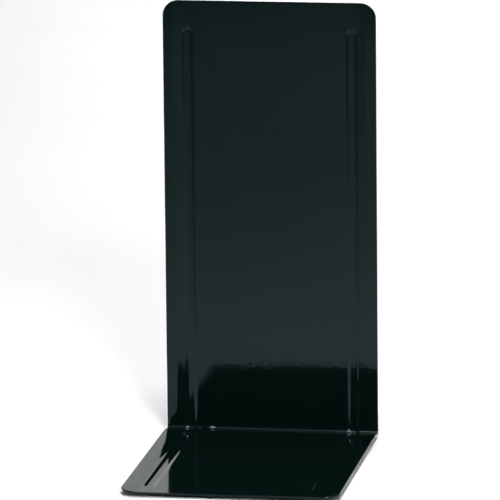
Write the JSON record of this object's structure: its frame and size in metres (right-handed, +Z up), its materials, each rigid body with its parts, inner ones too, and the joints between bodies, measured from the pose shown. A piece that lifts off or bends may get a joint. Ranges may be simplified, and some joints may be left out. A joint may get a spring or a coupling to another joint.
{
  "type": "book end",
  "caption": "L-shaped book end folded from sheet steel, gloss black, with pressed stiffening beads and anti-slip pads under the base.",
  "frame": {"origin": "on the surface that it stands on, below the middle of its outer box", "axes": "+Z up along the upright, +Y from the books towards the upright, +X across the sheet"},
  "size_m": [0.1174, 0.1526, 0.2417],
  "materials": {
    "enamelled_steel": "gloss",
    "pad_rubber": "matte",
    "adhesive": "matte"
  },
  "bodies": {
    "root": {"folded_plate": "enamelled_steel", "anti_slip_pad_front_left": "pad_rubber", "anti_slip_pad_front_right": "pad_rubber", "anti_slip_pad_rear_left": "pad_rubber", "anti_slip_pad_rear_right": "pad_rubber", "adhesive_disc_front_left": "adhesive", "adhesive_disc_front_right": "adhesive", "adhesive_disc_rear_left": "adhesive", "adhesive_disc_rear_right": "adhesive"}
  },
  "joints": []
}
